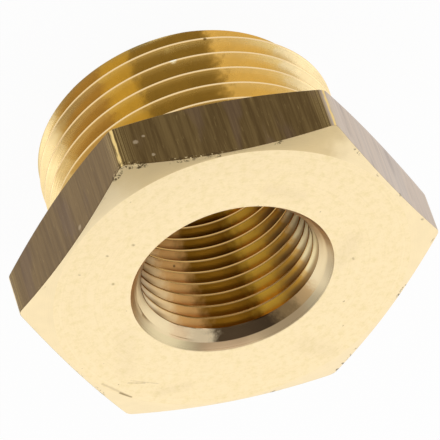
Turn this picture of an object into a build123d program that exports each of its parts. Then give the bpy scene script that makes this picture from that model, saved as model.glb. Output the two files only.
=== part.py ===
"""Reducing hex bushing, turned from one brass hexagon bar.

The bushing stands on the end of its male thread: the origin is the centre of that end face, +Z runs along
the common axis of both threads, and the hexagon head is on top. Lengths are in millimetres, angles in degrees.
Each thread is drawn as rings, one to a pitch: flat crests with V grooves between them. The crests are what the
mating part meets: the major diameter of the male thread and the minor diameter of the female thread.
"""

from build123d import *

import os
from math import cos, pi, radians, tan

# Hexagon head: drawn bar, with a flat land and a turned chamfer on both ends
across_flats = 32.0
corner_radius = 0.8
head_thickness = 5.9
front_land_diameter = 31.4
back_land_diameter = 31.4
head_chamfer_angle = 18.0

# Male thread, G 3/4, with a bevelled end, and a relief groove under the shoulder of the head
male_crest_diameter = 26.4
male_thread_depth = 1.15
male_pitch = 1.814
male_crest_flat = 0.25
male_first_crest = 1.57
shank_length = 11.5
shank_end_bevel = 0.45
relief_floor_width = 0.65
relief_undercut = 0.1
relief_flank_angle = 45.0

# Female thread, G 3/8, through the whole bushing, with a two-step mouth and a bevelled far end
female_crest_diameter = 15.25
female_thread_depth = 0.705
female_pitch = 1.337
female_crest_flat = 0.36
female_first_crest = 1.343
mouth_diameter = 17.9
mouth_step_diameter = 16.95
mouth_step_depth = 0.6
mouth_cone_angle = 45.0
far_end_bevel = 0.8

# Both threads: how far the V that cuts a groove stands off the crests
cutter_clearance = 0.15

# Heights along the axis, and the circle through the sharp corners of the bar
shoulder = shank_length
face = shoulder + head_thickness
corner_reach = across_flats / 2 / cos(pi / 6)


def thread_grooves(crest, root, pitch, crest_flat, first_crest, last_height):
    """Sketches the section of each V groove of a thread, from under its first crest up to last_height."""
    depth = crest - root
    half_mouth = (pitch - crest_flat) / 2
    stretch = 1 + cutter_clearance / abs(depth)
    middle = first_crest - pitch / 2
    with BuildSketch(Plane.XZ) as grooves:
        while middle < last_height:
            with BuildLine():
                Polyline(
                    (root, middle),
                    (root + depth * stretch, middle - half_mouth * stretch),
                    (root + depth * stretch, middle + half_mouth * stretch),
                    close=True,
                )
            make_face()
            middle += pitch
    return grooves.sketch


with BuildPart() as bushing:
    # The bar: a hexagon with its long edges rounded, as it is drawn
    with BuildSketch(Plane.XY.offset(shoulder)) as bar:
        RegularPolygon(across_flats / 2, 6, major_radius=False)
        fillet(bar.vertices(), corner_radius)
    extrude(amount=head_thickness)

    # Turning both ends of the head leaves a round land and a shallow cone that bows the edges of the flats
    front_land = front_land_diameter / 2
    back_land = back_land_diameter / 2
    slope = tan(radians(head_chamfer_angle))
    with BuildSketch(Plane.XZ) as head_envelope:
        with BuildLine():
            Polyline(
                (0, shoulder),
                (back_land, shoulder),
                (corner_reach, shoulder + (corner_reach - back_land) * slope),
                (corner_reach, face - (corner_reach - front_land) * slope),
                (front_land, face),
                (0, face),
                close=True,
            )
        make_face()
    revolve(axis=Axis.Z, mode=Mode.INTERSECT)

    # The shank, cut back to a relief groove where it meets the shoulder
    crest = male_crest_diameter / 2
    root = crest - male_thread_depth
    relief = root - relief_undercut
    relief_foot = shoulder - relief_floor_width
    thread_end = relief_foot - (crest - relief) * tan(radians(relief_flank_angle))
    with BuildSketch(Plane.XZ) as shank_section:
        with BuildLine():
            Polyline(
                (0, 0),
                (crest - shank_end_bevel, 0),
                (crest, shank_end_bevel),
                (crest, thread_end),
                (relief, relief_foot),
                (relief, shoulder),
                (0, shoulder),
                close=True,
            )
        make_face()
    revolve(axis=Axis.Z)

    # The male thread: the last groove opens on the flank of the relief groove
    last_groove = thread_end + male_pitch / 4
    revolve(
        thread_grooves(crest, root, male_pitch, male_crest_flat, male_first_crest, last_groove),
        axis=Axis.Z,
        mode=Mode.SUBTRACT,
    )

    # The bore, opened at the head by a narrow steep step and a cone, and bevelled at the far end
    bore = female_crest_diameter / 2
    mouth = mouth_diameter / 2
    step = mouth_step_diameter / 2
    cone_top = face - mouth_step_depth
    cone_foot = cone_top - (step - bore) / tan(radians(mouth_cone_angle))
    with BuildSketch(Plane.XZ) as bore_section:
        with BuildLine():
            Polyline(
                (0, 0),
                (bore + far_end_bevel, 0),
                (bore, far_end_bevel),
                (bore, cone_foot),
                (step, cone_top),
                (mouth, face),
                (0, face),
                close=True,
            )
        make_face()
    revolve(axis=Axis.Z, mode=Mode.SUBTRACT)

    # The female thread: the last groove stays under the foot of the cone
    bore_root = bore + female_thread_depth
    last_groove = cone_foot - female_pitch / 4
    revolve(
        thread_grooves(bore, bore_root, female_pitch, female_crest_flat, female_first_crest, last_groove),
        axis=Axis.Z,
        mode=Mode.SUBTRACT,
    )

bushing.part.label = "bushing_body"

os.makedirs("parts", exist_ok=True)
export_step(bushing.part, "parts/bushing_body.step")
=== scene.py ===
"""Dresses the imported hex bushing: cut threads, a chamfered hexagon head and the finishes of its brass."""

import math

import bmesh
import bpy
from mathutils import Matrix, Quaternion, Vector


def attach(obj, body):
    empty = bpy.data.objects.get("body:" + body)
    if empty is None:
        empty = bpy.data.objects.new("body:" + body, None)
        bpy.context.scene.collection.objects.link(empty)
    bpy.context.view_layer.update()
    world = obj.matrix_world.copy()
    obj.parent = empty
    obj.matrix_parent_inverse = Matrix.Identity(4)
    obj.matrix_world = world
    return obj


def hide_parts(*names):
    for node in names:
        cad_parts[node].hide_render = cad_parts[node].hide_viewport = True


bl_info = {
    "name": "Hex Bushing",
    "version": (1, 0, 0),
    "blender": (4, 5, 0),
    "location": "View3D > Sidebar > Hex Bushing",
    "description": "Builds a threaded brass hex bushing and the studio it stands in",
    "category": "Add Mesh",
}

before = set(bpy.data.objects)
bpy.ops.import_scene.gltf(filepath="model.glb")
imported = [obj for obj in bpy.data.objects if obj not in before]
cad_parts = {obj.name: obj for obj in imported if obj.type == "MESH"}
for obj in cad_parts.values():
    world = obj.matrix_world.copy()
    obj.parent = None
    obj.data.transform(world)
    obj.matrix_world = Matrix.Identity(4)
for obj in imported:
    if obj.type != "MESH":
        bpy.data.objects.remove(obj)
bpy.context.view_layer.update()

MM = 0.001
TURN = 2 * math.pi
SIDES = 6
HALF_SIDE = TURN / SIDES / 2
CAD_NODE = "bushing_body"


# ---------------------------------------------------------------- node trees


class Num:
    """A number in a node tree. An expression on it adds the Math nodes that work it out."""

    def __init__(self, graph, socket):
        self.graph = graph
        self.socket = socket

    def math(self, operation, *others):
        values = dict(enumerate((self, *others)))
        return self.graph.number("ShaderNodeMath", {"operation": operation}, values)

    def swapped(self, operation, other):
        return self.graph.number("ShaderNodeMath", {"operation": operation}, {0: other, 1: self})

    def __add__(self, other):
        return self.math("ADD", other)

    def __radd__(self, other):
        return self.swapped("ADD", other)

    def __sub__(self, other):
        return self.math("SUBTRACT", other)

    def __rsub__(self, other):
        return self.swapped("SUBTRACT", other)

    def __mul__(self, other):
        return self.math("MULTIPLY", other)

    def __rmul__(self, other):
        return self.swapped("MULTIPLY", other)

    def __truediv__(self, other):
        return self.math("DIVIDE", other)

    def __rtruediv__(self, other):
        return self.swapped("DIVIDE", other)


class Graph:
    """The nodes of one tree."""

    def __init__(self, tree):
        self.tree = tree
        self.tree.nodes.clear()

    def node(self, kind, settings=None, inputs=None):
        """Adds a node: its settings first, then the values or links of its sockets."""
        made = self.tree.nodes.new(kind)
        for name, value in (settings or {}).items():
            setattr(made, name, value)
        for key, value in (inputs or {}).items():
            socket = made.inputs[key]
            if isinstance(value, Num):
                value = value.socket
            if isinstance(value, bpy.types.NodeSocket):
                self.tree.links.new(value, socket)
            else:
                socket.default_value = value
        return made

    def number(self, kind, settings=None, inputs=None, output=0):
        return Num(self, self.node(kind, settings, inputs).outputs[output])


def least(first, *others):
    for other in others:
        first = first.math("MINIMUM", other)
    return first


def between(value, low, high):
    return value.math("MAXIMUM", low).math("MINIMUM", high)


# ---------------------------------------------------------------- sizes and colours


def length(name, description, millimetres):
    return bpy.props.FloatProperty(
        name=name, description=description, default=millimetres * MM, unit="LENGTH", precision=5
    )


def degrees(name, description, value):
    return bpy.props.FloatProperty(
        name=name, description=description, default=math.radians(value), subtype="ANGLE", unit="ROTATION"
    )


def colour(name, description, value):
    return bpy.props.FloatVectorProperty(
        name=name, description=description, default=value, size=3, min=0.0, max=1.0, subtype="COLOR"
    )


class BushingHead(bpy.types.PropertyGroup):
    """Sizes of the hexagon head and of what is turned on it."""

    across_flats: length("Across Flats", "Width of the hexagon bar over two flats", 32.0)
    corner_radius: length("Corner Radius", "Rounding of the long edges of the bar", 0.8)
    shoulder: length("Shoulder Height", "Height of the shoulder over the thread end", 11.5)
    face: length("Face Height", "Height of the front face over the thread end", 17.4)
    land: length("Land Radius", "Radius of the flat ring inside each chamfer", 15.7)
    chamfer: degrees("Chamfer Slope", "Slope of the chamfers", 18.0)
    mouth: length("Mouth Radius", "Radius of the bore at the front face", 8.95)
    edge: length("Edge Break", "Width of the small flat on each turned edge", 0.045)
    relief: length("Relief Radius", "Radius of the groove under the shoulder", 11.95)
    relief_width: length("Relief Width", "Width of the floor of that groove", 0.65)


class BushingThread(bpy.types.PropertyGroup):
    """Sizes of one thread and of the wall that carries it."""

    side: bpy.props.FloatProperty(name="Side", description="1 on a shank, -1 in a bore", default=1.0)
    pitch: length("Pitch", "Rise of the thread in one turn", 1.814)
    crest: length("Crest Radius", "Radius over the crests", 13.2)
    root: length("Root Radius", "Radius at the bottom of the groove", 12.05)
    crest_flat: length("Crest Flat", "Width of the flat on a crest", 0.15)
    start: length("Start Height", "Height of one crest on the +X side", 1.057)
    flank: degrees("Flank Angle", "Lean of each flank", 27.5)
    low: length("Low End", "Lowest height of the wall", 0.0)
    high: length("High End", "Highest height of the wall", 10.85)
    low_radius: length("Low Radius", "Radius of the cone at the low end", 12.75)
    high_radius: length("High Radius", "Radius of the cone at the high end", 11.95)


class BushingFinish(bpy.types.PropertyGroup):
    """Colours of the finishes of the brass."""

    face: colour("Turned Face", "Front face, shoulder and end face", (0.98, 0.81, 0.51))
    chamfer: colour("Chamfer", "Cones at both ends of the head", (0.96, 0.79, 0.49))
    tarnish: colour("Drawn Flat", "Tarnished skin of the drawn bar", (0.20, 0.125, 0.055))
    # The next two colours are the drawn skin with painted shade, for the darkest flat, and with painted
    # light, for the palest flat
    shaded_tarnish: colour("Dark Flat", "The darkest flat", (0.115, 0.069, 0.024))
    lit_tarnish: colour("Rubbed Flat", "The flat whose skin is rubbed thin", (0.64, 0.52, 0.43))
    # Bare Brass is also the painted highlight on the rounded corners
    bare: colour("Bare Brass", "Brass rubbed bare on the corners of the bar", (0.90, 0.66, 0.26))
    thread: colour("Male Thread", "Flanks of the male thread", (0.97, 0.78, 0.44))
    bore: colour("Bore Thread", "Flanks of the female thread", (1.00, 0.82, 0.52))
    # Crest colours: rubbed brass, partly a painted highlight on the crest lines
    crest: colour("Male Crests", "Rubbed crests of the male thread", (0.90, 0.68, 0.38))
    bore_crest: colour("Bore Crests", "Rubbed crests of the female thread", (0.62, 0.39, 0.14))


class BushingStudio(bpy.types.PropertyGroup):
    """Camera, floor and lights."""

    aim: bpy.props.FloatVectorProperty(
        name="Aim", description="Point that the camera looks at", subtype="TRANSLATION", unit="LENGTH",
        default=(-0.098 * MM, 3.401 * MM, 13.485 * MM),
    )
    distance: length("Distance", "Distance from the aim to the camera", 545.24)
    azimuth: degrees("Azimuth", "Direction of the camera round +Z from +X", 102.103)
    elevation: degrees("Elevation", "Height of the camera over the horizon", 40.522)
    roll: degrees("Roll", "Turn of the camera about its own axis", 161.096)
    lens: bpy.props.FloatProperty(
        name="Lens", description="Focal length on a 36 mm sensor", default=525.23, unit="CAMERA"
    )
    floor_colour: colour("Floor", "Colour of the plain floor", (0.92, 0.92, 0.92))
    room: colour("Room", "Colour of the plain room", (0.42, 0.41, 0.40))
    shadow: bpy.props.FloatProperty(
        name="Floor Shadow", description="Share of the object's shadow that the floor shows", default=0.05,
        min=0.0, max=1.0, subtype="FACTOR",
    )


GROUPS = {
    "bushing_head": BushingHead,
    "bushing_shank_thread": BushingThread,
    "bushing_bore_thread": BushingThread,
    "bushing_finish": BushingFinish,
    "bushing_studio": BushingStudio,
}

BORE_THREAD = {
    "side": -1.0,
    "pitch": 1.337 * MM,
    "crest": 7.625 * MM,
    "root": 8.33 * MM,
    "crest_flat": 0.16 * MM,
    "flank": math.radians(39.8),
    "start": 15.05 * MM,
    "low": 0.0,
    "high": 16.8 * MM,
    "low_radius": 8.425 * MM,
    "high_radius": 8.475 * MM,
}


# ---------------------------------------------------------------- thread walls

COLUMNS = 288
ROWS_PER_PITCH = 12
# How far columns draw together at the hexagon's corners and rows at the thread's edges, from 0 to 1
CORNER_GATHER = 0.72
EDGE_GATHER = 0.6
# Points closer than this become one
WELD = 0.0004 * MM

THREAD_INPUTS = {
    "Side": "side",
    "Pitch": "pitch",
    "Crest Radius": "crest",
    "Root Radius": "root",
    "Crest Flat": "crest_flat",
    "Start Height": "start",
    "Flank Angle": "flank",
    "Low End": "low",
    "High End": "high",
    "Low Radius": "low_radius",
    "High Radius": "high_radius",
}


def gathered_turn(u):
    """Share of a turn of a column: columns stand closer at the corners of the hexagon."""
    return u - CORNER_GATHER * math.sin(SIDES * TURN * u) / (SIDES * TURN)


def thread_sockets(tree):
    """The inputs and the output of the node group, by name."""
    kinds = {name: "NodeSocketFloat" for name in THREAD_INPUTS}
    kinds.update({
        "Columns": "NodeSocketInt", "Rows per Pitch": "NodeSocketInt", "Material": "NodeSocketMaterial",
    })
    sockets = {
        name: tree.interface.new_socket(name=name, in_out="INPUT", socket_type=kind)
        for name, kind in kinds.items()
    }
    tree.interface.new_socket(name="Geometry", in_out="OUTPUT", socket_type="NodeSocketGeometry")
    return sockets


def wall_grid(graph, size):
    """A flat grid with a column for each step round the axis, and the turn and height of its points."""
    pitch, start = size["Pitch"], size["Start Height"]
    low, high = size["Low End"], size["High End"]
    first = ((low - start) / pitch).math("FLOOR") - 1.0
    last = ((high - start) / pitch).math("CEIL")
    rows = (last - first) * size["Rows per Pitch"] + 1.0
    counts = {
        "Vertices X": graph.node("FunctionNodeFloatToInt", {}, {0: size["Columns"] + 1.0}).outputs[0],
        "Vertices Y": graph.node("FunctionNodeFloatToInt", {}, {0: rows}).outputs[0],
    }
    grid = graph.node("GeometryNodeMeshGrid", {}, {"Size X": 1.0, "Size Y": 1.0, **counts})
    place = graph.node("GeometryNodeInputPosition")
    on_grid = graph.node("ShaderNodeSeparateXYZ", {}, {0: place.outputs[0]})
    u = Num(graph, on_grid.outputs[0]) + 0.5
    row = first + (Num(graph, on_grid.outputs[1]) + 0.5) * (last - first)
    turn = u - CORNER_GATHER / (SIDES * TURN) * (SIDES * TURN * u).math("SINE")
    phase = row - EDGE_GATHER / (2 * TURN) * (2 * TURN * row).math("SINE")
    return grid, turn, between(start + pitch * (phase + turn), low, high)


def wall_radius(size, turn, height):
    """Radius of the wall: crest, flank and groove along the helix, cut by the cones at both ends."""
    pitch, side = size["Pitch"], size["Side"]
    along = (height - size["Start Height"]) / pitch - turn
    from_crest = (along - along.math("ROUND")).math("ABSOLUTE") * pitch
    depth = (size["Crest Radius"] - size["Root Radius"]).math("ABSOLUTE")
    run = depth * size["Flank Angle"].math("TANGENT")
    drop = between((from_crest - 0.5 * size["Crest Flat"]) / run, 0.0, 1.0)
    reach = side * size["Crest Radius"] - depth * drop
    low_cone = side * size["Low Radius"] + (height - size["Low End"])
    high_cone = side * size["High Radius"] + (size["High End"] - height)
    return side * least(reach, low_cone, high_cone)


def thread_tree():
    """Geometry nodes that wrap a grid round the axis as the wall of a thread, along its helix."""
    tree = bpy.data.node_groups.new("thread_wall", "GeometryNodeTree")
    graph = Graph(tree)
    sockets = thread_sockets(tree)
    group = graph.node("NodeGroupInput")
    size = {name: Num(graph, group.outputs[name]) for name in sockets if name != "Material"}
    grid, turn, height = wall_grid(graph, size)
    radius = wall_radius(size, turn, height)
    azimuth = TURN * turn
    x, y = radius * azimuth.math("COSINE"), radius * azimuth.math("SINE")
    wrapped = graph.node("ShaderNodeCombineXYZ", {}, {0: x, 1: y, 2: height})
    moved = graph.node(
        "GeometryNodeSetPosition", {}, {"Geometry": grid.outputs["Mesh"], "Position": wrapped.outputs[0]}
    )
    welded = graph.node(
        "GeometryNodeMergeByDistance", {}, {"Geometry": moved.outputs[0], "Distance": WELD}
    )
    real = graph.node("GeometryNodeRealizeInstances", {}, {"Geometry": welded.outputs[0]})
    dressed = graph.node(
        "GeometryNodeSetMaterial", {}, {"Geometry": real.outputs[0], "Material": group.outputs["Material"]}
    )
    graph.node("NodeGroupOutput", {}, {"Geometry": dressed.outputs[0]})
    return tree, {name: socket.identifier for name, socket in sockets.items()}


def thread_wall(name, tree, identifiers, sizes, material):
    """A thread wall as a plain mesh."""
    carrier = bpy.data.objects.new(name, bpy.data.meshes.new(name))
    bpy.context.scene.collection.objects.link(carrier)
    modifier = carrier.modifiers.new("Thread Wall", "NODES")
    modifier.node_group = tree
    for label, key in THREAD_INPUTS.items():
        modifier[identifiers[label]] = getattr(sizes, key)
    modifier[identifiers["Columns"]] = COLUMNS
    modifier[identifiers["Rows per Pitch"]] = ROWS_PER_PITCH
    modifier[identifiers["Material"]] = material
    depsgraph = bpy.context.evaluated_depsgraph_get()
    mesh = bpy.data.meshes.new_from_object(carrier.evaluated_get(depsgraph), depsgraph=depsgraph)
    bpy.data.objects.remove(carrier)
    return mesh


# ---------------------------------------------------------------- head and the welded body

# Edges that turn by more than this stay sharp
CREASE = math.radians(24.0)
# Turned by this much, the column at azimuth 0 sorts first in both rims
SEAM_SLACK = 0.002
# Share of its width that an edge break takes from each side, and of a short side that it may take
EDGE_CUT = 0.7
SHORT_STRIP = 0.3
# The finish of each strip of the broken section line, from the relief groove to the mouth of the bore
STRIP_FINISH = (
    "shoulder", "shoulder", "shoulder", "chamfer", "chamfer", "flat", "flat",
    "flat", "chamfer", "chamfer", "face", "face", "step",
)


def bar_reach(head, angle):
    """Distance from the axis to the outside of the bar; the corners are at multiples of 60 degrees."""
    half = head.across_flats / 2
    off_corner = (angle + HALF_SIDE) % (2 * HALF_SIDE) - HALF_SIDE
    centre = (half - head.corner_radius) / math.cos(HALF_SIDE)
    tangent = math.atan2(
        head.corner_radius * math.sin(HALF_SIDE), centre + head.corner_radius * math.cos(HALF_SIDE)
    )
    if abs(off_corner) < tangent:
        across = centre * math.sin(off_corner)
        return centre * math.cos(off_corner) + math.sqrt(head.corner_radius**2 - across**2)
    return half / math.cos(HALF_SIDE - abs(off_corner))


def broken(corners, width):
    """Replaces each inner corner of a section line by a small flat of that width."""
    line = [corners[0]]
    for before, corner, after in zip(corners, corners[1:], corners[2:]):
        for end in (before, after):
            step = Vector(end) - Vector(corner)
            cut = min(EDGE_CUT * width, SHORT_STRIP * step.length)
            line.append(tuple(Vector(corner) + step.normalized() * cut))
    line.append(corners[-1])
    return line


def head_section(head, bore, angle):
    """Radius and height of the head's section, from the relief groove over the flat to the bore."""
    reach = bar_reach(head, angle)
    rise = (reach - head.land) * math.tan(head.chamfer)
    corners = [
        (head.relief, head.shoulder - head.relief_width),
        (head.relief, head.shoulder),
        (head.land, head.shoulder),
        (reach, head.shoulder + rise),
        (reach, head.face - rise),
        (head.land, head.face),
        (head.mouth, head.face),
        (bore.high_radius, bore.high),
    ]
    return broken(corners, head.edge)


def add_head(mesh, head, bore, slots):
    """Adds the rings of the head to a bmesh, column by column with the thread walls."""
    rings = []
    for column in range(COLUMNS):
        angle = TURN * gathered_turn(column / COLUMNS)
        line = head_section(head, bore, angle)
        rings.append([
            mesh.verts.new((radius * math.cos(angle), radius * math.sin(angle), height))
            for radius, height in line
        ])
    strips = len(rings[0]) - 1
    for column in range(COLUMNS):
        here, there = rings[column], rings[(column + 1) % COLUMNS]
        for strip in range(strips):
            quad = mesh.faces.new((here[strip], there[strip], there[strip + 1], here[strip + 1]))
            quad.material_index = slots[STRIP_FINISH[strip]]


def close_end(mesh, split, slots):
    """Closes the gap between the two thread walls with the flat end face, column by column."""
    rims = [[], []]
    for vertex in {vertex for edge in mesh.edges if edge.is_boundary for vertex in edge.verts}:
        rims[vertex.co.xy.length > split].append(vertex)
    for rim in rims:
        rim.sort(key=lambda vertex: (math.atan2(vertex.co.y, vertex.co.x) + SEAM_SLACK) % TURN)
    inner, outer = rims
    for column in range(COLUMNS):
        after = (column + 1) % COLUMNS
        quad = mesh.faces.new((inner[column], outer[column], outer[after], inner[after]))
        quad.material_index = slots["face"]


def mark_creases(mesh):
    for face in mesh.faces:
        face.smooth = True
    for edge in mesh.edges:
        edge.smooth = len(edge.link_faces) == 2 and edge.calc_face_angle(0.0) < CREASE


def closed_body(walls, head, shank, bore, slots):
    """Welds the thread walls, the head and the end face to one closed skin."""
    mesh = bmesh.new()
    for name, wall in walls.items():
        known = len(mesh.faces)
        mesh.from_mesh(wall)
        mesh.faces.ensure_lookup_table()
        for face in mesh.faces[known:]:
            face.material_index = slots[name]
    add_head(mesh, head, bore, slots)
    bmesh.ops.remove_doubles(mesh, verts=mesh.verts, dist=WELD)
    close_end(mesh, (shank.root + bore.root) / 2, slots)
    bmesh.ops.recalc_face_normals(mesh, faces=mesh.faces)
    open_edges = [edge for edge in mesh.edges if len(edge.link_faces) != 2]
    if open_edges:
        raise RuntimeError(f"the body is not closed: {len(open_edges)} edges")
    mark_creases(mesh)
    return mesh


class BUSHING_OT_build_body(bpy.types.Operator):
    """Builds the bushing with both threads and puts it in place of the plain CAD solid"""

    bl_idname = "bushing.build_body"
    bl_label = "Build Bushing"

    def execute(self, context):
        scene = context.scene
        shank, bore = scene.bushing_shank_thread, scene.bushing_bore_thread
        materials = brass_finishes(scene)
        slots = {name: number for number, name in enumerate(materials)}
        tree, identifiers = thread_tree()
        walls = {
            "thread": thread_wall("shank_wall", tree, identifiers, shank, materials["thread"]),
            "bore": thread_wall("bore_wall", tree, identifiers, bore, materials["bore"]),
        }
        mesh = closed_body(walls, scene.bushing_head, shank, bore, slots)
        data = bpy.data.meshes.new("hex_bushing")
        mesh.to_mesh(data)
        mesh.free()
        body = bpy.data.objects.new("hex_bushing", data)
        scene.collection.objects.link(body)
        for material in materials.values():
            data.materials.append(material)
        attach(body, "root")
        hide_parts(CAD_NODE)
        return {"FINISHED"}


# ---------------------------------------------------------------- marks on the brass, and its bands of painted reflection and shade

# Marks on the front face: first point, last point, half width, all in millimetres, and how dark it is
FACE_MARKS = (
    ((-10.09, -11.84), (-9.13, -12.66), 0.09, 0.75),
    ((-9.36, -10.73), (-7.86, -11.18), 0.05, 0.40),
    ((-10.42, 2.43), (-10.40, 2.38), 0.10, 0.50),
    ((-8.60, 6.86), (-8.55, 6.80), 0.10, 0.50),
    ((-10.86, 6.11), (-10.80, 6.05), 0.08, 0.45),
    ((-13.32, 4.41), (-13.25, 4.35), 0.07, 0.40),
    ((10.57, -0.23), (10.62, -0.40), 0.08, 0.40),
    ((-9.5, -4.5), (-9.4, -9.0), 0.80, 0.05),
    ((6.4, -10.3), (8.6, -11.9), 0.90, 0.06),
    ((9.4, -0.4), (10.5, 2.1), 0.80, 0.07),
    ((-11.6, -10.2), (-9.4, -12.4), 0.10, 0.28),
    ((-9.1, -10.5), (-6.7, -11.6), 0.05, 0.22),
    ((3.3, 10.4), (5.9, 8.9), 0.60, 0.06),
    ((-6.6, -12.8), (-4.2, -12.6), 0.50, 0.07),
)

# Pale specks on the flats: place and radius in millimetres
FLAT_SPECKS = (
    ((-7.45, 16.0, 14.26), 0.30),
    ((-6.33, 16.0, 16.01), 0.22),
    ((-6.65, 16.0, 13.77), 0.18),
    ((-12.96, 9.55, 16.70), 0.30),
)

# Chips and nicks on the threads: place and radius in millimetres, and colour
CHIPS = (
    ((-1.57, 13.15, 3.30), 0.42, (1.0, 0.96, 0.80)),
    ((1.69, 13.09, 1.56), 0.20, (0.25, 0.16, 0.05)),
    ((3.25, 12.79, 0.95), 0.28, (0.22, 0.14, 0.04)),
    ((-2.98, -7.40, 8.21), 0.19, (0.12, 0.06, 0.02)),
    ((-2.92, -7.43, 8.52), 0.15, (0.14, 0.07, 0.02)),
)

# The corner of the front edge where the swarf is thickest, in millimetres
WORST_BURR = (-8.6, 15.9, 17.0)

BLACK = (0.0, 0.0, 0.0)
WHITE = (1.0, 1.0, 1.0)
MARK_TONE = (0.22, 0.14, 0.05)
MOTTLE_TONE = (0.90, 0.74, 0.41)
PIT_TONE = (0.30, 0.20, 0.08)
DARK_BURR = (0.08, 0.05, 0.02)
BRIGHT_BURR = (1.0, 0.80, 0.44)
PURPLE_STAIN = (0.17, 0.11, 0.09)
SPECK_TONE = (0.75, 0.60, 0.40)
GROOVE_SHADE = (0.22, 0.12, 0.045)

# Tints of the metal where it is seen at a low angle
SHANK_TINT = (1.0, 0.90, 0.70)
BORE_TINT = (1.0, 0.80, 0.50)
MOUTH_TINT = (1.0, 0.78, 0.55)

# Azimuths of the flat with painted shade and of the flat with painted light
SHADED_FLAT = 90.0
LIT_FLAT = 30.0

# Where painted shade darkens the grooves of the bore: depths in millimetres and bearings in degrees, each
# as the start and the end of the change
GROOVE_DEPTH = (0.12, 0.42)
GROOVE_SIDES = (34.0, 50.0)

# Heights of the tool marks in millimetres
FACE_RELIEF = 0.010
TURNED_RELIEF = 0.008
DRAWN_RELIEF = 0.02
THREAD_RELIEF = 0.006

# Bands of painted reflection, and of painted shade on the chamfers: the azimuth that their bearings start
# from, how soft their borders are in degrees, and the bearings at which the colour changes
NO_BANDS = (0.0, 1.0, ())
MALE_REFLECTION_BANDS = (90.0, 3.0, (
    (-38.0, (0.99, 0.74, 0.32)),
    (-10.0, (0.57, 0.408, 0.145)),
    (22.5, (0.85, 0.61, 0.19)),
    (37.0, (0.72, 0.49, 0.18)),
    (62.0, (0.93, 0.73, 0.38)),
))
BORE_REFLECTION_BANDS = (-90.0, 6.5, (
    (-50.0, (1.00, 0.73, 0.38)),
    (-33.0, (0.90, 0.50, 0.17)),
    (-14.0, (0.28, 0.125, 0.01)),
    (22.0, (1.00, 0.58, 0.07)),
    (40.0, (0.76, 0.40, 0.06)),
    (63.0, (1.00, 0.84, 0.48)),
))
# Painted shade on the top of the chamfers
CHAMFER_SHADE_BANDS = (90.0, 6.0, (
    (-34.0, (0.80, 0.62, 0.33)),
    (34.0, (0.96, 0.79, 0.49)),
))
MOUTH_REFLECTION_BANDS = (-90.0, 8.0, (
    (-62.0, (1.00, 0.84, 0.50)),
    (-22.0, (0.62, 0.42, 0.24)),
    (10.0, (0.82, 0.60, 0.34)),
    (48.0, (0.98, 0.81, 0.51)),
))
CONE_REFLECTION_BANDS = (-90.0, 6.0, (
    (-40.0, (0.88, 0.66, 0.40)),
    (-28.0, (0.98, 0.80, 0.52)),
    (-11.0, (0.10, 0.065, 0.035)),
    (30.0, (0.42, 0.28, 0.13)),
    (45.0, (0.80, 0.54, 0.26)),
    (62.0, (0.96, 0.79, 0.49)),
))


# ---------------------------------------------------------------- finishes of the brass


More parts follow.
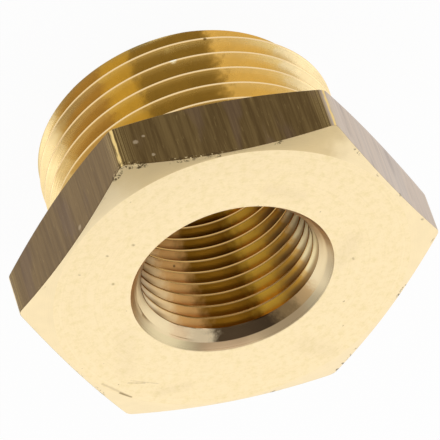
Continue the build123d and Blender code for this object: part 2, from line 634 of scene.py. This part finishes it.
class Finish(Graph):
    """A metal material, with its patterns in object coordinates in millimetres."""

    def __init__(self, name):
        self.material = bpy.data.materials.new(name)
        self.material.use_nodes = True
        super().__init__(self.material.node_tree)
        coordinates = self.node("ShaderNodeTexCoord")
        self.place = self.node(
            "ShaderNodeVectorMath", {"operation": "SCALE"},
            {0: coordinates.outputs["Object"], "Scale": 1 / MM},
        ).outputs[0]
        axes = self.node("ShaderNodeSeparateXYZ", {}, {0: self.place})
        self.x, self.y, self.z = (Num(self, socket) for socket in axes.outputs)

    def stretched(self, x, y, z):
        """The place, with each axis scaled."""
        return self.node(
            "ShaderNodeVectorMath", {"operation": "MULTIPLY"}, {0: self.place, 1: (x, y, z)}
        ).outputs[0]

    def noise(self, place, scale, detail=3.0, roughness=0.5):
        return self.number(
            "ShaderNodeTexNoise", {"noise_dimensions": "3D"},
            {"Vector": place, "Scale": scale, "Detail": detail, "Roughness": roughness},
        )

    def line_noise(self, value, scale, detail=3.0, roughness=0.6):
        """Noise along one number, for marks that follow a tool."""
        return self.number(
            "ShaderNodeTexNoise", {"noise_dimensions": "1D"},
            {"W": value, "Scale": scale, "Detail": detail, "Roughness": roughness},
        )

    def step(self, value, low, high):
        """0 below low, 1 above high and a smooth rise between them."""
        return self.number(
            "ShaderNodeMapRange", {"interpolation_type": "SMOOTHSTEP"},
            {"Value": value, "From Min": low, "From Max": high},
        )

    def blend(self, factor, first, second):
        """Mixes two colours, each given by its values or by a socket."""
        tones = {
            key: tone if isinstance(tone, bpy.types.NodeSocket) else (*tone, 1.0)
            for key, tone in ((6, first), (7, second))
        }
        return self.node("ShaderNodeMix", {"data_type": "RGBA"}, {0: factor, **tones}).outputs[2]

    def radius(self):
        return (self.x * self.x + self.y * self.y).math("SQRT")

    def azimuth(self):
        return self.y.math("ARCTAN2", self.x)

    def bearing(self, azimuth):
        """Degrees round the axis from an azimuth."""
        turn = math.radians(azimuth)
        along = self.x * math.cos(turn) + self.y * math.sin(turn)
        across = self.y * math.cos(turn) - self.x * math.sin(turn)
        return across.math("ARCTAN2", along) * (360 / TURN)

    def off_corner(self):
        """Degrees round the axis from the nearest corner of the hexagon."""
        return (SIDES * self.azimuth()).math("COSINE").math("ARCCOSINE") * (360 / TURN / SIDES)

    def inside_bar(self, head):
        """Distance inwards from the nearest flat of the bar, in millimetres."""
        off_flat = (180 / SIDES - self.off_corner()) * (TURN / 360)
        return head.across_flats / 2 / MM - self.radius() * off_flat.math("COSINE")

    def under_edge(self, head):
        """Distance down from the front edge of a flat, in millimetres."""
        edge = head.face / MM - (self.radius() - head.land / MM) * math.tan(head.chamfer)
        return edge - self.z

    def from_point(self, place):
        """Distance from a point, in millimetres."""
        return self.number(
            "ShaderNodeVectorMath", {"operation": "DISTANCE"}, {0: self.place, 1: place}, output="Value"
        )

    def from_line(self, start, end):
        """Distance from a short line, seen along the axis."""
        run = Vector(end) - Vector(start)
        x, y = self.x - start[0], self.y - start[1]
        along = between((x * run.x + y * run.y) / run.length_squared, 0.0, 1.0)
        x, y = x - along * run.x, y - along * run.y
        return (x * x + y * y).math("SQRT")

    def spot(self, place, radius, ragged):
        """1 at a place, falling to 0 over a ragged rim."""
        return 1.0 - self.step(self.from_point(place) + ragged, 0.4 * radius, radius)

    def burrs(self, base, distance):
        """Ragged specks of swarf, dark and bright, along an edge at that distance."""
        ragged = self.noise(self.place, 2.6, 4.0, 0.75)
        patch = self.noise(self.place, 0.45, 2.0)
        worst = 0.45 * (1.0 - self.step(self.from_point(WORST_BURR), 0.5, 2.6))
        near = 1.0 - self.step(distance - (0.44 + 0.6 * worst) * ragged, 0.0, 0.08)
        near = near * self.step(patch + worst, 0.53, 0.64)
        base = self.blend(0.9 * near * self.step(ragged, 0.50, 0.56), base, DARK_BURR)
        return self.blend(0.8 * near * (1.0 - self.step(ragged, 0.36, 0.42)), base, BRIGHT_BURR)

    def banded(self, tone, bands, wander):
        """Painted bands of light and shade along the axis: past each bearing, which wanders, the tone
        changes to the next one.
        """
        facing, softness, changes = bands
        bearing = self.bearing(facing) + wander
        for start, band in changes:
            tone = self.blend(self.step(bearing, start - softness, start + softness), tone, band)
        return tone

    def metal(self, base, roughness, bump, relief, tint=WHITE):
        """The finished material. The bump's relief is in millimetres."""
        bumped = self.node("ShaderNodeBump", {}, {"Distance": relief * MM, "Height": bump})
        shader = self.node("ShaderNodeBsdfPrincipled", {}, {
            "Base Color": base,
            "Metallic": 1.0,
            "Roughness": roughness,
            "Specular Tint": (*tint, 1.0),
            "Normal": bumped.outputs[0],
        })
        self.node("ShaderNodeOutputMaterial", {}, {"Surface": shader.outputs[0]})
        return self.material


def darker(tone, factor):
    return tuple(channel * factor for channel in tone)


def turned_face(tone):
    """Faced brass: fine rings round the axis, mottling, pits, smudges and scratches."""
    finish = Finish("turned_brass")
    rings = finish.line_noise(finish.radius(), 6.0, 4.0)
    marks = finish.noise(finish.stretched(1.0, 0.25, 1.0), 2.2, 4.0)
    mottle = finish.noise(finish.place, 1.5, 5.0, 0.7)
    grain = finish.noise(finish.place, 6.0, 2.0)
    base = finish.blend(finish.step(mottle, 0.40, 0.75), tone, MOTTLE_TONE)
    base = finish.blend(0.10 * grain + 0.10 * rings, base, darker(tone, 0.5))
    pits = finish.step(finish.noise(finish.place, 1.9, 1.0), 0.78, 0.80)
    base = finish.blend(0.5 * pits, base, PIT_TONE)
    for start, end, half_width, depth in FACE_MARKS:
        off_mark = finish.from_line(start, end) + 0.10 * (marks - 0.5)
        base = finish.blend(depth * (1.0 - finish.step(off_mark, 0.0, 2.0 * half_width)), base, MARK_TONE)
    roughness = 0.34 + 0.10 * rings + 0.06 * marks
    return finish.metal(base, roughness, rings + 0.4 * marks + 0.6 * grain, FACE_RELIEF)


def turned_brass(name, tone, head, roughness, bands=NO_BANDS, tint=WHITE):
    """Turned brass with fine rings round the axis, up to the flats of the bar."""
    finish = Finish(name)
    rings = finish.line_noise(finish.radius(), 9.0, 4.0)
    cloud = finish.noise(finish.place, 0.8, 4.0)
    # The bands paint reflection on the mouth and shade on the chamfers
    base = finish.banded(tone, bands, 12.0 * (cloud - 0.5))
    base = finish.blend(0.25 * cloud + 0.12 * rings, base, darker(tone, 0.55))
    base = finish.burrs(base, finish.inside_bar(head))
    return finish.metal(base, roughness + 0.10 * rings, rings, TURNED_RELIEF, tint)


def flat_skin(finish, colours, head):
    """The tarnish of the six flats: one is darkened by painted shade, and one is lightened by painted
    light.
    """
    skin = colours.tarnish
    half = head.across_flats / 2 / MM
    # One flat gets painted shade and one gets painted light
    for azimuth, tone in ((SHADED_FLAT, colours.shaded_tarnish), (LIT_FLAT, colours.lit_tarnish)):
        turn = math.radians(azimuth)
        outward = finish.x * math.cos(turn) + finish.y * math.sin(turn)
        skin = finish.blend(finish.step(outward, half - 0.5, half - 0.1), skin, tone)
    return skin


def drawn_flat(colours, head):
    """The skin of the drawn bar: dull, with streaks along the bar, and bare brass on its corners, partly
    wear and partly a painted highlight.
    """
    finish = Finish("drawn_brass")
    streaks = finish.noise(finish.stretched(1.0, 1.0, 0.04), 2.6, 5.0, 0.7)
    fine = finish.noise(finish.stretched(1.0, 1.0, 0.10), 7.0, 3.0, 0.6)
    patches = finish.noise(finish.stretched(1.0, 1.0, 0.35), 0.30, 3.0)
    skin = flat_skin(finish, colours, head)
    deep = finish.blend(0.16, skin, BLACK)
    pale = finish.blend(0.065, skin, colours.bare)
    base = finish.blend(finish.step(streaks + 0.3 * patches, 0.45, 0.85), deep, pale)
    base = finish.blend(finish.step(fine, 0.60, 0.72) * 0.11, base, colours.bare)
    purple = finish.step(finish.noise(finish.stretched(1.0, 1.0, 0.25), 0.55, 2.0), 0.55, 0.68)
    base = finish.blend(0.25 * purple, base, PURPLE_STAIN)
    off_corner = finish.off_corner()
    stripes = finish.step(finish.line_noise(off_corner, 4.0, 2.0), 0.48, 0.60)
    near_corner = 1.0 - finish.step(off_corner, 1.6, 4.5)
    base = finish.blend(0.28 * near_corner * stripes, base, colours.bare)
    # Bare brass on the corners: partly wear, partly a painted highlight on the rounded corners
    wear_and_highlight = 1.0 - finish.step(off_corner + 1.6 * (fine - 0.5), 0.15, 0.50)
    base = finish.blend(wear_and_highlight, base, colours.bare)
    for place, radius in FLAT_SPECKS:
        base = finish.blend(0.35 * finish.spot(place, radius, 0.2 * (fine - 0.5)), base, SPECK_TONE)
    base = finish.burrs(base, finish.under_edge(head))
    return finish.metal(base, 0.30 + 0.16 * patches, streaks + 0.3 * fine, DRAWN_RELIEF)


def cut_thread(name, tone, crest_highlight_tone, sizes, bands, roughness):
    """A thread cut by a tool: marks that follow the helix, bands of painted reflection, and crests with a
    painted highlight.

    Gives the finish, its colour, its roughness and the marks.
    """
    finish = Finish(name)
    along = finish.z - finish.azimuth() * (sizes.pitch / MM / TURN)
    marks = finish.line_noise(along, 14.0, 3.0)
    cloud = finish.noise(finish.place, 0.35, 3.0)
    streaks = finish.noise(finish.stretched(1.0, 1.0, 0.12), 1.6, 4.0)
    # Bands of painted reflection round the thread
    base = finish.banded(tone, bands, 13.0 * (streaks - 0.5))
    base = finish.blend(0.11 * cloud + 0.14 * streaks, base, BLACK)
    # Crest lines: rubbed brass and a painted highlight, with lower roughness
    under_crest = (finish.radius() - sizes.crest / MM) * -sizes.side
    crest = 1.0 - finish.step(under_crest, 0.02, 0.06)
    base = finish.blend(crest * finish.step(streaks, 0.15, 0.35), base, crest_highlight_tone)
    for place, radius, chip_tone in CHIPS:
        base = finish.blend(finish.spot(place, radius, 0.15 * (streaks - 0.5)), base, chip_tone)
    return finish, base, roughness + 0.10 * cloud - 0.6 * roughness * crest, marks


def male_thread(colours, sizes):
    finish, base, roughness, marks = cut_thread(
        "male_thread_brass", colours.thread, colours.crest, sizes, MALE_REFLECTION_BANDS, 0.22
    )
    return finish.metal(base, roughness, marks, THREAD_RELIEF, SHANK_TINT)


def bore_thread(colours, sizes):
    """The female thread, with painted shade in its grooves at the sides, and the cone above it at the
    mouth, with bands of painted reflection.
    """
    finish, base, roughness, marks = cut_thread(
        "bore_brass", colours.bore, colours.bore_crest, sizes, BORE_REFLECTION_BANDS, 0.28
    )
    depth = finish.radius() - sizes.crest / MM
    shaded_sides = finish.step(finish.bearing(BORE_REFLECTION_BANDS[0]).math("ABSOLUTE"), *GROOVE_SIDES)
    # Painted shade deep in the grooves at the sides of the bore
    base = finish.blend(0.8 * shaded_sides * finish.step(depth, *GROOVE_DEPTH), base, GROOVE_SHADE)
    smear = finish.noise(finish.stretched(1.0, 1.0, 0.5), 1.1, 4.0, 0.7)
    # The cone at the mouth: bands of painted reflection
    cone = finish.banded(colours.chamfer, CONE_REFLECTION_BANDS, 22.0 * (smear - 0.5))
    cone_start = (sizes.high - sizes.high_radius + sizes.crest) / MM
    base = finish.blend(finish.step(finish.z, cone_start - 0.1, cone_start), base, cone)
    return finish.metal(base, roughness, marks, THREAD_RELIEF, BORE_TINT)


def brass_finishes(scene):
    colours, head = scene.bushing_finish, scene.bushing_head
    return {
        "face": turned_face(colours.face),
        "shoulder": turned_brass("shoulder_brass", colours.chamfer, head, 0.14),
        "chamfer": turned_brass("chamfer_brass", colours.chamfer, head, 0.30, CHAMFER_SHADE_BANDS),
        "flat": drawn_flat(colours, head),
        "thread": male_thread(colours, scene.bushing_shank_thread),
        "bore": bore_thread(colours, scene.bushing_bore_thread),
        "step": turned_brass("mouth_brass", colours.face, head, 0.24, MOUTH_REFLECTION_BANDS, MOUTH_TINT),
    }


# ---------------------------------------------------------------- floor, lights and camera

# Half the width of the floor and its distance under the thread end, in metres
FLOOR_HALF = 1.5
FLOOR_GAP = 0.02 * MM
# The point that the lamps face, in metres, and the width of the camera's sensor in millimetres
LAMP_AIM = Vector((0.0, 0.0, 10.0 * MM))
SENSOR_WIDTH = 36.0

# Each soft lamp: azimuth and elevation in degrees, distance, width and height in metres, and radiance
LAMPS = {
    "front_softbox": (-85.0, 33.0, 0.9, 2.0, 1.3, 0.73),
    "top_softbox": (75.0, 72.0, 0.9, 0.35, 0.30, 1.60),
    "back_softbox": (79.0, 28.0, 0.9, 0.90, 0.35, 0.90),
    "side_softbox": (-5.0, 33.0, 0.9, 0.8, 0.8, 0.50),
    "left_softbox": (-150.0, 30.0, 0.9, 0.5, 0.5, 0.60),
}


def floor_material(tone, shadow):
    """White to the camera and in the metal, but for a share that keeps the shadow."""
    material = bpy.data.materials.new("plain_floor")
    material.use_nodes = True
    graph = Graph(material.node_tree)
    rays = graph.node("ShaderNodeLightPath")
    seen = Num(graph, rays.outputs["Is Camera Ray"])
    for name in ("Is Glossy Ray", "Is Transmission Ray"):
        seen = seen.math("MAXIMUM", Num(graph, rays.outputs[name]))
    lit = graph.node("ShaderNodeBsdfDiffuse", {}, {"Color": (*tone, 1.0)})
    white = graph.node("ShaderNodeEmission", {}, {"Color": (*WHITE, 1.0), "Strength": 1.0})
    mixed = graph.node("ShaderNodeMixShader", {}, {
        0: seen * (1.0 - shadow), 1: lit.outputs[0], 2: white.outputs[0],
    })
    graph.node("ShaderNodeOutputMaterial", {}, {"Surface": mixed.outputs[0]})
    return material


def studio_world(tone):
    world = bpy.data.worlds.new("plain_room")
    world.use_nodes = True
    graph = Graph(world.node_tree)
    background = graph.node("ShaderNodeBackground", {}, {"Color": (*tone, 1.0), "Strength": 1.0})
    graph.node("ShaderNodeOutputWorld", {}, {"Surface": background.outputs[0]})
    return world


def direction(azimuth, elevation):
    level = math.cos(elevation)
    return Vector((level * math.cos(azimuth), level * math.sin(azimuth), math.sin(elevation)))


def add_lamp(scene, name, azimuth, elevation, distance, width, height, radiance):
    """A soft lamp whose face shines at that radiance."""
    light = bpy.data.lights.new(name, "AREA")
    light.shape = "RECTANGLE"
    light.size, light.size_y = width, height
    light.energy = radiance * math.pi * width * height
    lamp = bpy.data.objects.new(name, light)
    outward = direction(math.radians(azimuth), math.radians(elevation))
    lamp.location = LAMP_AIM + outward * distance
    lamp.rotation_euler = outward.to_track_quat("Z", "Y").to_euler()
    scene.collection.objects.link(lamp)


def add_camera(scene, studio):
    data = bpy.data.cameras.new("camera")
    data.lens = studio.lens
    data.sensor_width = SENSOR_WIDTH
    camera = bpy.data.objects.new("camera", data)
    outward = direction(studio.azimuth, studio.elevation)
    camera.location = Vector(studio.aim) + outward * studio.distance
    turned = outward.to_track_quat("Z", "Y") @ Quaternion((0.0, 0.0, 1.0), studio.roll)
    camera.rotation_euler = turned.to_euler()
    scene.collection.objects.link(camera)
    scene.camera = camera


class BUSHING_OT_build_studio(bpy.types.Operator):
    """Lays the plain floor and sets the lights and the camera"""

    bl_idname = "bushing.build_studio"
    bl_label = "Build Studio"

    def execute(self, context):
        scene, studio = context.scene, context.scene.bushing_studio
        corners = [
            (x * FLOOR_HALF, y * FLOOR_HALF, -FLOOR_GAP) for x, y in ((-1, -1), (1, -1), (1, 1), (-1, 1))
        ]
        data = bpy.data.meshes.new("floor")
        data.from_pydata(corners, [], [(0, 1, 2, 3)])
        floor = bpy.data.objects.new("floor", data)
        data.materials.append(floor_material(studio.floor_colour, studio.shadow))
        scene.collection.objects.link(floor)
        scene.world = studio_world(studio.room)
        for name, place in LAMPS.items():
            add_lamp(scene, name, *place)
        add_camera(scene, studio)
        scene.view_settings.view_transform = "Standard"
        return {"FINISHED"}


# ---------------------------------------------------------------- panel and main


class BUSHING_PT_panel(bpy.types.Panel):
    """Sizes, colours and operators of the bushing"""

    bl_idname = "BUSHING_PT_panel"
    bl_label = "Hex Bushing"
    bl_space_type = "VIEW_3D"
    bl_region_type = "UI"
    bl_category = "Hex Bushing"

    def draw(self, context):
        for name, group in GROUPS.items():
            box = self.layout.box()
            box.label(text=name.replace("_", " "))
            for key in group.__annotations__:
                box.prop(getattr(context.scene, name), key)
        self.layout.operator("bushing.build_body")
        self.layout.operator("bushing.build_studio")


CLASSES = (
    BushingHead, BushingThread, BushingFinish, BushingStudio,
    BUSHING_OT_build_body, BUSHING_OT_build_studio, BUSHING_PT_panel,
)


def register():
    for one in CLASSES:
        bpy.utils.register_class(one)
    for name, group in GROUPS.items():
        setattr(bpy.types.Scene, name, bpy.props.PointerProperty(type=group))


def unregister():
    for name in GROUPS:
        delattr(bpy.types.Scene, name)
    for one in reversed(CLASSES):
        bpy.utils.unregister_class(one)


def main():
    register()
    for key, value in BORE_THREAD.items():
        setattr(bpy.context.scene.bushing_bore_thread, key, value)
    bpy.ops.bushing.build_body()
    bpy.ops.bushing.build_studio()


if __name__ == "__main__":
    main()
